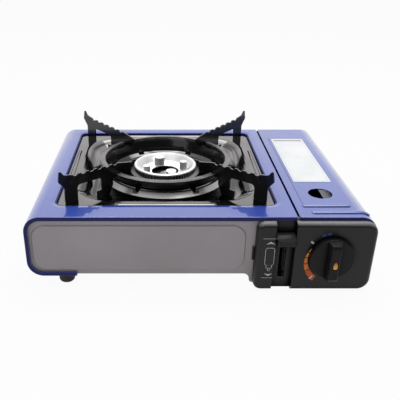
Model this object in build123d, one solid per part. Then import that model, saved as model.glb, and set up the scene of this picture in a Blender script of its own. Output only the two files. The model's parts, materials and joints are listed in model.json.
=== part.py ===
from build123d import *
import math
import os

os.makedirs("parts", exist_ok=True)

# Body: X to the right, Y to the back, Z up, the table at z = 0
BODY_WIDTH = 340.0
TOP_HEIGHT = 80.0
SHEET = 1.0
EDGE_R = 17.0
LOWER_EDGE_R = 16.0
LIP = 4.0
LIP_FOLD = 2.0
LIP_BEND_R = 1.2
LEFT_CLEAR = 14.0
FLANGE_WIDTH = 49.0
FIT = 0.3
RUNNING_FIT = 0.05

# Lid over the cartridge, hinged low on the right
LID_WIDTH = 75.2
SEAM_GAP = 2.4
SEAM_CORNER_R = 3.0
SEAM_FLANGE = 10.0
LID_FLANGE = 7.0
LID_REST = 4.0
LID_REST_FRONT = 14.0
LID_REST_REAR = 6.0
SIGHT_HOLE_R = 12.3
SIGHT_HOLE_X = 32.3
SIGHT_HOLE_Y = 54.0
CREASE_X = 7.8
CREASE_DEPTH = 0.4
RIB_WIDTH_R = 4.5
RIB_RISE = 1.8
RIB_LENGTH = 42.0
RIB_FRONT_Y = 10.5
RIB_REAR_Y = 25.0
RIB_WRAP = 40.0
LABEL_WIDTH = 40.4
LABEL_X = 11.3
LABEL_Y = 83.5
LABEL_REAR = 40.5
LABEL_THICK = 0.3
LABEL_CORNER_R = 2.0
HINGE_INSET = 4.0
HINGE_Z = 16.0
HINGE_END = 20.0
PIN_R = 1.5
EAR_R = 2.5
EAR_THICK = 3.0
LUG_THICK = 2.0

# Square well in the worktop: it fills what the lid and the margins leave of the width
WELL_LEFT = 27.7
WELL_RIGHT = 14.7
WELL_FRONT = 28.0
WELL_REAR = 15.0
WELL_SIZE = BODY_WIDTH - LID_WIDTH - SEAM_GAP - WELL_LEFT - WELL_RIGHT
BODY_DEPTH = WELL_FRONT + WELL_SIZE + WELL_REAR
WELL_R = 8.0
WELL_BEVEL = 6.0
BEVEL_DROP = 1.0
LEDGE_WIDTH = 8.0
RIM_DROP = 2.8

# Front and rear walls, floor and cartridge tray
FASCIA_SET = 3.0
FIELD_RISE = 1.4
FIELD_LEFT = 6.5
FIELD_RIGHT = 9.0
FIELD_TOP = 9.5
FIELD_BOTTOM = 5.0
FIELD_R = 14.0
TRAY_CLEAR = 5.0
TRAY_MARGIN = 17.7
TRAY_WALL = 22.0
SLOT_COUNT = 6
AIR_SLOT_LENGTH = 36.0
AIR_SLOT_WIDTH = 5.0
AIR_SLOT_PITCH = 14.0

# Control panel with lever channel
PANEL_DROP = 3.4
PANEL_CLEAR = 1.2
PANEL_PROUD = 6.3
PANEL_WALL = 2.2
PANEL_EDGE_R = 5.0
PANEL_CORNERS = [8.0, 13.0, 12.0, 8.0]
CHANNEL_LEFT = 17.8
CHANNEL_WIDTH = 19.6
CHANNEL_GAP = 0.7
CHANNEL_FLOOR = 2.0
CLIP_WIDTH = 2.2
CLIP_HEIGHT = 15.0
CLIP_Z = TOP_HEIGHT / 2

# Knob and spindle
KNOB_R = 21.7
KNOB_X = LID_WIDTH / 2 + 5.4
KNOB_Z = TOP_HEIGHT / 2 + 0.5
KNOB_GAP = 0.5
KNOB_DISC = 6.2
GRIP_RISE = 8.8
GRIP_WIDTH = 8.6
GRIP_END = 1.5
SPINDLE_R = 3.0
SPINDLE_DEPTH = 14.0
SPINDLE_HOLE_R = 5.0

# Cartridge lock
TAB_HEIGHT = 8.0
TAB_Z = TOP_HEIGHT - 20.5
TAB_HOLLOW_R = 12.0
TAB_HOLLOW = 2.2
TAB_REACH = 7.5
TAB_SIDE_GAP = 0.8
LEVER_TRAVEL = 35.0
PUSHER_TRAVEL = 6.0
STEM_THICK = 2.8
STEM_HEIGHT = 5.5
STEM_GAP = 0.4
SLOT_GAP = 1.9
SLOT_BELOW = 10.0
CAM_PIN_R = 2.5
CAM_THICK = 2.0
CAM_MARGIN = 3.2
BAR_HEIGHT = 10.0
PUSHER_WIDTH = 60.0
PUSHER_HEIGHT = 46.0
PUSHER_REAR_GAP = 7.0

# Gas governor and inlet on the axis of the knob
GOVERNOR_DEPTH = 32.0
GOVERNOR_LEFT = 20.0
GOVERNOR_RIGHT = 16.0
GOVERNOR_HALF = 17.0
INLET_BOSS_R = 12.0
INLET_BOSS = 6.0
NOZZLE_R = 5.0
NOZZLE_SEAT = 4.0
NOZZLE_LENGTH = 16.0
NOZZLE_BORE_R = 2.1
NOZZLE_BORE = 8.0
SEAL_R = 8.0
SEAL_THICK = 2.0
GUIDE_GAP = 10.0
GUIDE_THICK = 1.5
GUIDE_HALF = 24.0
GUIDE_HOLE_R = 18.5
PIPE_R = 3.0
PIPE_BORE_R = 2.0
PIPE_DROP = 8.0
TUBE_R = 10.0
TUBE_BORE_R = 8.8
COVER_FLANGE = 3.0
COVER_RISE = 7.0

# Unit on which the burner, the drip pan and the pan support are laid out
UNIT = WELL_SIZE / 22

# Burner
NECK_R = 14.0
NECK_WALL = 3.0
NECK_TOP = 22.0
BRACKET_LIFT = 5.5
BRACKET_SHEET = 1.5
SKIRT_R = 4.0 * UNIT
SKIRT_DROP = 9.5
CROWN_R = 3.58 * UNIT
CROWN_WALL = 3.5
CROWN_HEIGHT = 4.6
PORT_COUNT = 62
PORT_WIDTH = 1.8
CAP_R = 3.6 * UNIT
CAP_RISE = 0.3
CAP_RIM = 2.3
DISH_DEPTH = 9.5
CAP_HOLE_R = 1.57 * UNIT
POST_RADII = [0.41 * UNIT, 0.59 * UNIT, 0.41 * UNIT, 0.59 * UNIT]
POST_CIRCLE = 2.25 * UNIT
POST_RISE = 9.0
POST_ANGLE = 17.0
ELECTRODE_CIRCLE = 4.5 * UNIT
ELECTRODE_R = 2.2
ELECTRODE_ANGLE = 62.0

# Igniter and its lead
IGNITER_WIDTH = 12.0
IGNITER_LENGTH = 30.0
IGNITER_HEIGHT = 14.0
LEAD_R = 1.2
LEAD_HOLE_R = 3.0

# Drip pan
PAN_GAP = 1.5
DISH_HALF = 9.6 * UNIT
DISH_CORNER = 3.8 * UNIT
FLOOR_HALF = 8.0 * UNIT
FLOOR_CORNER = 2.2 * UNIT
PAN_BEND_R = 5.0
FLOOR_BEND_R = 18.0
PAN_DEPTH = 8.7
COLLAR_R = 6.6 * UNIT
COLLAR_RISE = 5.0
COLLAR_TOP = 1.0
COLLAR_SLOPE = 6.0
SHELF_RISE = 0.5
PAN_HOLE_R = 5.0 * UNIT
BEAD_LENGTH = 10.1 * UNIT
BEAD_R = 3.0
BEAD_RISE = 1.0
BEAD_OUT = 10.45 * UNIT

# Pan support
ARM_ANGLES = {"front_left": 225, "front_right": 315, "rear_left": 135, "rear_right": 45}
ARM_SEAT = 3.0
ARM_THICK = 1.5
LEG_OUTER = 14.3 * UNIT
LEG_WIDTH = 1.55 * UNIT
INNER_LEG = 8.05 * UNIT
INNER_LEG_WIDTH = 1.55 * UNIT
ARM_INNER = 5.0 * UNIT
ARM_TIP = 7.0
ARM_REACH = LEG_OUTER + ARM_TIP
ARM_REST_RISE = 25.0
ARM_TIP_RISE = 7.3
ARM_TIP_EDGE = 1.8
ARM_TIP_FOOT = 2.6
ARM_TIP_UNDER = 3.0
ARM_EDGE_DROP = 3.9
ARM_END_DROP = 8.8
ARM_DEPTH = 11.5
ARM_DEPTH_MIDDLE = 12.2
ARM_DEPTH_INNER = 14.0
FOOT_TAB = 0.65 * UNIT
FOOT_TAB_HEIGHT = 9.0
HEEL = 5.0
SCALLOP_PITCH = 1.04 * UNIT
SCALLOP_R = 4.2
SCALLOP_DEPTH = 1.7
SCALLOP_COUNT = 6
RING_TOP_R = 7.05 * UNIT
RING_RIM = 0.45 * UNIT
RING_RIM_SAG = 0.6
RING_BOTTOM_R = 6.44 * UNIT
RING_RISE = 8.9
RING_SHEET = 1.2
TAB_ANGLE = 28.0
RING_TAB_WIDTH = 6.0
RING_TAB_DROP = 5.0
RING_TAB_NOTCH = 10.0

# Feet and screws
FOOT_R = 8.0
FOOT_EDGE_R = 3.0
LEFT_FOOT_X = 36.0
RIGHT_FOOT_X = 14.0
FOOT_INSET = 16.0
SCREW_R = 2.0
SCREW_HEAD_R = 3.6
SCREW_HEAD = 2.4
SCREW_CLEAR = 2.0

# Positions that follow from the sizes above
RIGHT = BODY_WIDTH / 2
LEFT = -RIGHT
KNOB_REACH = PANEL_PROUD + KNOB_GAP + KNOB_DISC + GRIP_RISE
FRONT_Y = (KNOB_REACH - BODY_DEPTH) / 2
REAR_Y = FRONT_Y + BODY_DEPTH
FASCIA_Y = FRONT_Y + FASCIA_SET
INNER_FRONT = FASCIA_Y + SHEET
INNER_REAR = REAR_Y - FASCIA_SET - SHEET
LID_LEFT = RIGHT - LID_WIDTH
LABEL_LENGTH = BODY_DEPTH - LABEL_Y - LABEL_REAR
SEAM_X = LID_LEFT - SEAM_GAP
UNDER_TOP = TOP_HEIGHT - SHEET
BURNER_X = LEFT + WELL_LEFT + WELL_SIZE / 2
BURNER_Y = FRONT_Y + WELL_FRONT + WELL_SIZE / 2
RIM_Z = TOP_HEIGHT - RIM_DROP
LEDGE_Z = RIM_Z - SHEET
LEDGE_UNDER = LEDGE_Z - SHEET
PAN_FLOOR_Z = RIM_Z - PAN_DEPTH
FLOOR_Z = LEFT_CLEAR + SHEET
FLOOR_TOP = FLOOR_Z + SHEET
TRAY_TOP = TRAY_CLEAR + SHEET
HINGE_X = RIGHT - HINGE_INSET
HINGE_YS = {"front": FRONT_Y + HINGE_END, "rear": REAR_Y - HINGE_END}
LID_BOTTOM = HINGE_Z + PIN_R
FIXED_RIGHT = HINGE_X - EAR_R + PIN_R
TRAY_RIGHT = HINGE_X - EAR_R - FIT
SHIELD_X = BURNER_X + WELL_SIZE / 2 - LEDGE_WIDTH + SHEET
TRAY_LEFT = SHIELD_X - TRAY_MARGIN
PANEL_TOP = TOP_HEIGHT - PANEL_DROP
PANEL_FRONT = FRONT_Y - PANEL_PROUD
CHANNEL_X1 = SEAM_X - CHANNEL_GAP
CHANNEL_X0 = CHANNEL_X1 - CHANNEL_WIDTH
PANEL_LEFT = CHANNEL_X0 - CHANNEL_LEFT
CHANNEL_MID = (CHANNEL_X0 + CHANNEL_X1) / 2
CHANNEL_Y = FASCIA_Y - CHANNEL_FLOOR
AXIS_X = RIGHT - KNOB_X
GOVERNOR_Y = INNER_FRONT + GOVERNOR_DEPTH
GUIDE_Y = GOVERNOR_Y + GUIDE_GAP
CAM_PIN_Y = INNER_FRONT + PUSHER_TRAVEL + CAM_PIN_R + FIT + CAM_MARGIN + FIT
CAM_X = CHANNEL_MID + STEM_THICK / 2 + FIT
CAM_FRONT = CAM_PIN_Y - CAM_PIN_R - FIT - CAM_MARGIN
CAM_REAR = CAM_PIN_Y + PUSHER_TRAVEL + CAM_PIN_R + FIT + CAM_MARGIN
PUSHER_Y = INNER_REAR - PUSHER_REAR_GAP
PIPE_Y = max(CAM_REAR + PIPE_R + FIT, GOVERNOR_Y - 2 * PIPE_R)
PIPE_Z = KNOB_Z - PIPE_DROP
NECK_BOTTOM = FLOOR_TOP + BRACKET_LIFT
CROWN_TOP = TOP_HEIGHT + CAP_RISE - CAP_RIM
SKIRT_Z = TOP_HEIGHT - SKIRT_DROP
ELECTRODE_X = BURNER_X + ELECTRODE_CIRCLE * math.cos(math.radians(ELECTRODE_ANGLE))
ELECTRODE_Y = BURNER_Y + ELECTRODE_CIRCLE * math.sin(math.radians(ELECTRODE_ANGLE))
ELECTRODE_Z = SKIRT_Z - NECK_R
IGNITER_Z = KNOB_Z + GOVERNOR_HALF - IGNITER_HEIGHT / 2


def rect(x0, x1, y0, y1):
    return Pos((x0 + x1) / 2, (y0 + y1) / 2) * Rectangle(x1 - x0, y1 - y0)


def outline(points, radii):
    return make_face(FilletPolyline(points, radius=radii, close=True))


def slab(sketch, y0, y1):
    """Carry a sketch drawn in X and Z from y0 to y1."""
    plane = Plane(origin=(0, y1, 0), x_dir=(1, 0, 0), z_dir=(0, -1, 0))
    return extrude(plane * sketch, amount=y1 - y0)


def cheek(sketch, x0, x1):
    """Carry a sketch drawn in Y and Z from x0 to x1."""
    plane = Plane(origin=(x0, 0, 0), x_dir=(0, 1, 0), z_dir=(1, 0, 0))
    return extrude(plane * sketch, amount=x1 - x0)


def plate(sketch, z0, z1):
    return extrude(Pos(0, 0, z0) * sketch, amount=z1 - z0)


def block(x0, x1, y0, y1, z0, z1):
    return plate(rect(x0, x1, y0, y1), z0, z1)


def rod_y(x, z, radius, y0, y1):
    return slab(Pos(x, z) * Circle(radius), y0, y1)


def rod_z(x, y, radius, z0, z1):
    return plate(Pos(x, y) * Circle(radius), z0, z1)


def turned(points, x, y):
    """Turn a closed outline of radius and height about the vertical through x, y."""
    profile = Plane.XZ * make_face(Polyline(points, close=True))
    return Pos(x, y) * revolve(profile, Axis.Z)


def tube_along(points, radius, bend):
    path = FilletPolyline(points, radius=bend)
    return sweep(Plane(path @ 0, z_dir=path % 0) * Circle(radius), path)


# Painted shells


def shell_outline(inset):
    left = LEFT + inset
    low = LEFT_CLEAR + inset
    high = TOP_HEIGHT - inset
    points = [(left, high), (SEAM_X, high), (SEAM_X, low), (left, low)]
    return outline(points, [EDGE_R - inset, 0, 0, LOWER_EDGE_R - inset])


def end_edges(skin):
    """The edges of the front and rear face of a skin, for the bend into the lip."""
    faces = skin.faces().filter_by(Axis.Y).sort_by(Axis.Y)
    return faces[0].edges() + faces[-1].edges()


def top_shell():
    skin = slab(shell_outline(0), FRONT_Y, REAR_Y)
    skin = fillet([e for e in end_edges(skin) if e.center().X < SEAM_X - SHEET], LIP_BEND_R)
    skin -= slab(shell_outline(SHEET), FRONT_Y + LIP_FOLD, REAR_Y - LIP_FOLD)
    skin -= slab(shell_outline(LIP), FRONT_Y, REAR_Y)
    skin -= block(SEAM_X - SHEET, SEAM_X, FRONT_Y, REAR_Y, LEFT_CLEAR, TOP_HEIGHT - LIP)
    skin -= block(LEFT + FLANGE_WIDTH, SEAM_X, FRONT_Y, REAR_Y, LEFT_CLEAR, LEFT_CLEAR + LIP)
    skin += block(SEAM_X - SHEET, SEAM_X, INNER_FRONT, INNER_REAR, TOP_HEIGHT - SEAM_FLANGE, TOP_HEIGHT)
    skin -= seam_corners(SEAM_X, -1)
    skin = add_well(skin)
    top = TOP_HEIGHT - LID_FLANGE - FIT
    front_rest = (INNER_FRONT + FIT, INNER_FRONT + LID_REST_FRONT)
    rear_rest = (INNER_REAR - LID_REST_REAR, INNER_REAR - FIT)
    for y0, y1 in (front_rest, rear_rest):
        skin += block(SEAM_X - SHEET, LID_LEFT + LID_REST, y0, y1, top - SHEET, top)
    for y in (FRONT_Y + FOOT_INSET, REAR_Y - FOOT_INSET):
        skin -= rod_z(LEFT + LEFT_FOOT_X, y, SCREW_R, LEFT_CLEAR, FLOOR_Z)
    return skin


def well_outline(grow, radius):
    size = WELL_SIZE + 2 * grow
    return Pos(BURNER_X, BURNER_Y) * RectangleRounded(size, size, radius)


def seam_corners(x, side):
    """What rounds the two corners beside the seam, seen from above."""
    waste = None
    for y, inward in ((FRONT_Y, 1), (REAR_Y, -1)):
        centre_x = x + side * SEAM_CORNER_R
        centre_y = y + inward * SEAM_CORNER_R
        square = rect(min(x, centre_x), max(x, centre_x), min(y, centre_y), max(y, centre_y))
        spandrel = square - Pos(centre_x, centre_y) * Circle(SEAM_CORNER_R)
        corner = plate(spandrel, TOP_HEIGHT - LIP, TOP_HEIGHT)
        waste = corner if waste is None else waste + corner
    return waste


def add_well(skin):
    wall = 1.5 * SHEET
    brim = WELL_BEVEL + SHEET
    skin = skin + plate(well_outline(wall, WELL_R + wall), LEDGE_UNDER, TOP_HEIGHT)
    skin += plate(well_outline(brim, WELL_R + brim), TOP_HEIGHT - BEVEL_DROP - SHEET, TOP_HEIGHT)
    skin -= plate(well_outline(0, WELL_R), LEDGE_Z, TOP_HEIGHT)
    skin -= plate(well_outline(-LEDGE_WIDTH, WELL_R), LEDGE_UNDER, LEDGE_Z)
    edge = Pos(0, 0, TOP_HEIGHT) * well_outline(WELL_BEVEL, WELL_R + WELL_BEVEL)
    return skin - loft([Pos(0, 0, TOP_HEIGHT - BEVEL_DROP) * well_outline(0, WELL_R), edge])


def lid_outline(inset):
    right = RIGHT - inset
    high = TOP_HEIGHT - inset
    points = [(LID_LEFT, high), (right, high), (right, LID_BOTTOM), (LID_LEFT, LID_BOTTOM)]
    return outline(points, [0, EDGE_R - inset, 0, 0])


def lid():
    skin = slab(lid_outline(0), FRONT_Y, REAR_Y)
    bent = [e for e in end_edges(skin)
            if e.center().X > LID_LEFT + SHEET and e.center().Z > LID_BOTTOM + SHEET]
    skin = fillet(bent, LIP_BEND_R)
    skin -= slab(lid_outline(SHEET), FRONT_Y + LIP_FOLD, REAR_Y - LIP_FOLD)
    skin -= slab(lid_outline(LIP), FRONT_Y, REAR_Y)
    flange = rect(LID_LEFT, LID_LEFT + SHEET, INNER_FRONT + FIT, INNER_REAR - FIT)
    skin += plate(flange, TOP_HEIGHT - LID_FLANGE, TOP_HEIGHT)
    skin -= rod_z(LID_LEFT + SIGHT_HOLE_X, FRONT_Y + SIGHT_HOLE_Y, SIGHT_HOLE_R, UNDER_TOP, TOP_HEIGHT)
    crease = LID_LEFT + CREASE_X
    end = FRONT_Y + LABEL_Y + LABEL_LENGTH
    skin -= block(crease, crease + SHEET, FRONT_Y + WELL_FRONT, end, TOP_HEIGHT - CREASE_DEPTH, TOP_HEIGHT)
    skin += lid_ribs()
    skin -= seam_corners(LID_LEFT, 1)
    for y in HINGE_YS.values():
        skin += lid_ear(y)
    return skin


def lid_ribs():
    """One straight rib and one that runs over the rounded right edge."""
    axis_z = TOP_HEIGHT + RIB_RISE - RIB_WIDTH_R
    turn = EDGE_R + RIB_RISE - RIB_WIDTH_R
    x0 = LID_LEFT + CREASE_X + 2
    y0 = FRONT_Y + RIB_REAR_Y
    straight = Line((x0, y0, axis_z), (x0 + RIB_LENGTH, y0, axis_z))
    y1 = FRONT_Y + RIB_FRONT_Y
    flat = Line((x0 + 6, y1, axis_z), (RIGHT - EDGE_R, y1, axis_z))
    centre = (RIGHT - EDGE_R, y1, TOP_HEIGHT - EDGE_R)
    slope = math.radians(RIB_WRAP)
    half = (centre[0] + turn * math.sin(slope / 2), y1, centre[2] + turn * math.cos(slope / 2))
    stop = (centre[0] + turn * math.sin(slope), y1, centre[2] + turn * math.cos(slope))
    bend = ThreePointArc(flat @ 1, half, stop)
    ribs = None
    for path in (straight, flat, bend):
        run = sweep(Plane(path @ 0, z_dir=path % 0) * Circle(RIB_WIDTH_R), path)
        ends = Pos(path @ 0) * Sphere(RIB_WIDTH_R) + Pos(path @ 1) * Sphere(RIB_WIDTH_R)
        ribs = run + ends if ribs is None else ribs + run + ends
    return ribs - slab(lid_outline(SHEET / 2), FRONT_Y, REAR_Y)


def lid_ear(y):
    arm = rect(HINGE_X - EAR_R, RIGHT - SHEET, HINGE_Z, LID_BOTTOM + 3 * EAR_R)
    ear = slab(arm + Pos(HINGE_X, HINGE_Z) * Circle(EAR_R), y - EAR_THICK / 2, y + EAR_THICK / 2)
    return ear - rod_y(HINGE_X, HINGE_Z, PIN_R + RUNNING_FIT, y - EAR_THICK, y + EAR_THICK)


def hinge_pin(y):
    half = EAR_THICK / 2 + FIT + LUG_THICK
    return rod_y(HINGE_X, HINGE_Z, PIN_R, y - half, y + half)


def lid_label():
    x0 = LID_LEFT + LABEL_X
    y0 = FRONT_Y + LABEL_Y
    sheet = RectangleRounded(LABEL_WIDTH, LABEL_LENGTH, LABEL_CORNER_R)
    sheet = Pos(x0 + LABEL_WIDTH / 2, y0 + LABEL_LENGTH / 2) * sheet
    return plate(sheet, TOP_HEIGHT, TOP_HEIGHT + LABEL_THICK)


# Walls and floors


def end_wall_outline():
    left = LEFT + SHEET + FIT
    low = FLOOR_Z + FIT
    high = UNDER_TOP - FIT
    dip = TRAY_LEFT - 2 * SHEET
    points = [(left, high), (FIXED_RIGHT, high), (FIXED_RIGHT, TRAY_CLEAR),
              (dip, TRAY_CLEAR), (dip, low), (left, low)]
    inset = SHEET + FIT
    return outline(points, [EDGE_R - inset, EDGE_R - inset, 6, 4, 6, LOWER_EDGE_R - inset])


def field_outline(shrink):
    x0 = LEFT + FIELD_LEFT + shrink
    x1 = PANEL_LEFT - FIELD_RIGHT - shrink
    z0 = FLOOR_Z + FIELD_BOTTOM + shrink
    z1 = TOP_HEIGHT - FIELD_TOP - shrink
    return Pos((x0 + x1) / 2, (z0 + z1) / 2) * RectangleRounded(x1 - x0, z1 - z0, FIELD_R - shrink)


def field_block(shrink, y):
    """The raised field, as a slab with sloping sides whose wide face is at y."""
    plane = Plane(origin=(0, y, 0), x_dir=(1, 0, 0), z_dir=(0, -1, 0))
    return extrude(plane * field_outline(shrink), amount=FIELD_RISE, taper=40)


def lever_slot(grow, y0, y1):
    half = STEM_THICK / 2 + SLOT_GAP + grow
    low = TAB_Z - STEM_HEIGHT / 2 - LEVER_TRAVEL - SLOT_BELOW - 3 * grow
    high = TAB_Z + STEM_HEIGHT / 2 + STEM_GAP + grow
    return block(CHANNEL_MID - half, CHANNEL_MID + half, y0, y1, low, high)


def front_panel():
    wall = slab(end_wall_outline(), FASCIA_Y, INNER_FRONT)
    wall += field_block(0, FASCIA_Y)
    wall -= field_block(SHEET / 2, INNER_FRONT)
    wall -= rod_y(AXIS_X, KNOB_Z, SPINDLE_HOLE_R, FASCIA_Y, INNER_FRONT)
    wall -= lever_slot(SHEET, FASCIA_Y, INNER_FRONT)
    for x, z in governor_screw_spots() + panel_screw_spots():
        wall -= rod_y(x, z, SCREW_R, FASCIA_Y, INNER_FRONT)
    return wall


def rear_panel():
    wall = slab(end_wall_outline(), INNER_REAR, INNER_REAR + SHEET)
    middle = (FLOOR_TOP + LEDGE_UNDER) / 2
    for i in range(SLOT_COUNT):
        x = BURNER_X + (i - (SLOT_COUNT - 1) / 2) * AIR_SLOT_PITCH
        slot = Pos(x, middle) * Rot(0, 0, 90) * SlotOverall(AIR_SLOT_LENGTH, AIR_SLOT_WIDTH)
        wall -= slab(slot, INNER_REAR, INNER_REAR + SHEET)
    return wall


def base_plate():
    floor = block(LEFT + LOWER_EDGE_R, TRAY_LEFT, INNER_FRONT, INNER_REAR, FLOOR_Z, FLOOR_TOP)
    for x, y in left_foot_spots() + bracket_screw_spots():
        floor -= rod_z(x, y, SCREW_R, FLOOR_Z, FLOOR_TOP)
    return floor


def cartridge_tray():
    tray = block(TRAY_LEFT, TRAY_RIGHT, INNER_FRONT, INNER_REAR, TRAY_CLEAR, TRAY_TOP)
    tray += block(TRAY_LEFT, TRAY_LEFT + SHEET, INNER_FRONT, INNER_REAR, TRAY_CLEAR, FLOOR_TOP)
    wall_top = TRAY_TOP + TRAY_WALL
    tray += block(TRAY_RIGHT - SHEET, TRAY_RIGHT, INNER_FRONT, INNER_REAR, TRAY_CLEAR, wall_top)
    for y in HINGE_YS.values():
        tray += hinge_lugs(y)
    for x, y in right_foot_spots():
        tray -= rod_z(x, y, SCREW_R, TRAY_CLEAR, TRAY_TOP)
    return tray


def hinge_lugs(y):
    profile = rect(TRAY_RIGHT - SHEET, HINGE_X, HINGE_Z - EAR_R, HINGE_Z + EAR_R)
    profile += Pos(HINGE_X, HINGE_Z) * Circle(EAR_R)
    near = EAR_THICK / 2 + FIT
    lugs = slab(profile, y - near - LUG_THICK, y - near) + slab(profile, y + near, y + near + LUG_THICK)
    return lugs - rod_y(HINGE_X, HINGE_Z, PIN_R, y - near - LUG_THICK, y + near + LUG_THICK)


def heat_shield():
    wall = block(SHIELD_X, SHIELD_X + SHEET, INNER_FRONT, INNER_REAR, TRAY_TOP, LEDGE_UNDER)
    wall -= cheek(Pos(PIPE_Y, PIPE_Z) * Circle(PIPE_R + 1), SHIELD_X, SHIELD_X + SHEET)
    crossing = lead_points()[2]
    wall -= cheek(Pos(crossing.Y, crossing.Z) * Circle(LEAD_HOLE_R), SHIELD_X, SHIELD_X + SHEET)
    return wall


# Control panel, knob and lever


def panel_screw_spots():
    over_igniter = IGNITER_Z + IGNITER_HEIGHT / 2 + SCREW_HEAD_R + SCREW_CLEAR
    return [(CHANNEL_X1 + 9, over_igniter), (FIXED_RIGHT - 10, PANEL_CLEAR + 11)]


def control_panel():
    front = [(PANEL_LEFT, PANEL_TOP), (RIGHT, PANEL_TOP), (RIGHT, PANEL_CLEAR), (PANEL_LEFT, PANEL_CLEAR)]
    body = slab(outline(front, PANEL_CORNERS), PANEL_FRONT, FRONT_Y - FIT)
    body = fillet(body.faces().sort_by(Axis.Y)[0].edges(), PANEL_EDGE_R)
    side = RIGHT - LIP - FIT
    high = TOP_HEIGHT - LIP - FIT
    back = [(PANEL_LEFT, high), (side, high), (side, PANEL_CLEAR), (PANEL_LEFT, PANEL_CLEAR)]
    body += slab(outline(back, PANEL_CORNERS), FRONT_Y - FIT, FASCIA_Y)
    wall = PANEL_WALL
    for x0, x1, radius in ((PANEL_LEFT + wall, CHANNEL_X0 - wall, 5), (CHANNEL_X1 + wall, side - wall, 10)):
        hollow = [(x0, high - wall), (x1, high - wall), (x1, PANEL_CLEAR + wall), (x0, PANEL_CLEAR + wall)]
        body -= slab(outline(hollow, [radius] * 4), PANEL_FRONT + wall, FASCIA_Y)
    for x, z in panel_screw_spots():
        body += rod_y(x, z, 2 * SCREW_R, PANEL_FRONT + wall, FASCIA_Y)
        body -= rod_y(x, z, SCREW_R, CHANNEL_Y, FASCIA_Y)
    body -= block(CHANNEL_X0, CHANNEL_X1, PANEL_FRONT, CHANNEL_Y, PANEL_CLEAR, PANEL_TOP)
    body -= lever_slot(0, CHANNEL_Y, FASCIA_Y)
    body -= rod_y(AXIS_X, KNOB_Z, SPINDLE_HOLE_R, PANEL_FRONT, FASCIA_Y)
    clip_half = CLIP_HEIGHT / 2
    clip = rect(PANEL_LEFT - CLIP_WIDTH, PANEL_LEFT + wall, CLIP_Z - clip_half, CLIP_Z + clip_half)
    return body + slab(clip, FASCIA_Y - CHANNEL_FLOOR, FASCIA_Y)


def screws_y(spots, y_head, head, length):
    """Screws along Y, their heads from y_head by head, their shanks the other way by length."""
    group = []
    for x, z in spots:
        screw = rod_y(x, z, SCREW_HEAD_R, min(y_head, y_head + head), max(y_head, y_head + head))
        screw += rod_y(x, z, SCREW_R, min(y_head, y_head - length), max(y_head, y_head - length))
        group.append(screw)
    return Compound(children=group)


def knob():
    base = PANEL_FRONT - KNOB_GAP
    face = base - KNOB_DISC
    disc = rod_y(AXIS_X, KNOB_Z, KNOB_R, face, base)
    disc = fillet(disc.faces().sort_by(Axis.Y)[0].edges(), 1.2)
    tip = face - GRIP_RISE
    foot = 1.45 * GRIP_WIDTH
    section = [(AXIS_X - foot / 2, face), (AXIS_X + foot / 2, face), (AXIS_X + GRIP_WIDTH / 2, tip),
               (AXIS_X - GRIP_WIDTH / 2, tip)]
    bar = plate(outline(section, [0, 0, 1.5, 1.5]), KNOB_Z - KNOB_R, KNOB_Z + KNOB_R)
    reach = KNOB_R - 1
    crown = reach - GRIP_END
    side = [(face, KNOB_Z - reach), (face, KNOB_Z + reach), (tip, KNOB_Z + crown), (tip, KNOB_Z - crown)]
    bar = bar & cheek(outline(side, [0, 0, 4, 4]), AXIS_X - foot, AXIS_X + foot)
    return disc + bar - rod_y(AXIS_X, KNOB_Z, SPINDLE_R, face, base)


def valve_spindle():
    face = PANEL_FRONT - KNOB_GAP - KNOB_DISC
    return rod_y(AXIS_X, KNOB_Z, SPINDLE_R, face, INNER_FRONT + SPINDLE_DEPTH - SHEET)


def lever_tab():
    x0 = CHANNEL_X0 + TAB_SIDE_GAP
    x1 = CHANNEL_X1 - TAB_SIDE_GAP
    y0 = PANEL_FRONT - TAB_REACH
    y1 = CHANNEL_Y - FIT
    tab = block(x0, x1, y0, y1, TAB_Z - TAB_HEIGHT / 2, TAB_Z + TAB_HEIGHT / 2)
    dip_y = (y0 + PANEL_FRONT) / 2 - SHEET
    dip_z = TAB_Z + TAB_HEIGHT / 2 + TAB_HOLLOW_R - TAB_HOLLOW
    tab = tab - cheek(Pos(dip_y, dip_z) * Circle(TAB_HOLLOW_R), x0, x1)
    tab = fillet(tab.edges().filter_by(Axis.Z).group_by(Axis.Y)[0], 3)
    return tab - stem_block()


def stem_block():
    half = STEM_THICK / 2
    y0 = CHANNEL_Y - PANEL_PROUD
    y1 = CAM_PIN_Y + 1.6 * CAM_PIN_R
    side = rect(y0, y1, TAB_Z - STEM_HEIGHT / 2, TAB_Z + STEM_HEIGHT / 2)
    return cheek(side, CHANNEL_MID - half, CHANNEL_MID + half)


def lever_slide():
    pin = cheek(Pos(CAM_PIN_Y, TAB_Z) * Circle(CAM_PIN_R), CHANNEL_MID, CAM_X + CAM_THICK + FIT)
    return stem_block() + pin


def pusher_bar():
    cam_bottom = TRAY_TOP + FIT
    cam_top = TAB_Z + CAM_PIN_R + FIT + CAM_MARGIN
    cam = rect(CAM_FRONT, CAM_REAR, cam_bottom, cam_top)
    run = math.hypot(PUSHER_TRAVEL, LEVER_TRAVEL)
    lean = math.degrees(math.atan2(-LEVER_TRAVEL, PUSHER_TRAVEL))
    middle = Pos(CAM_PIN_Y + PUSHER_TRAVEL / 2, TAB_Z - LEVER_TRAVEL / 2)
    cam -= middle * Rot(0, 0, lean) * SlotCenterToCenter(run, 2 * (CAM_PIN_R + FIT))
    bar = rect(CAM_FRONT, PUSHER_Y, cam_bottom, cam_bottom + BAR_HEIGHT)
    return cheek(cam + bar, CAM_X, CAM_X + CAM_THICK)


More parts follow.
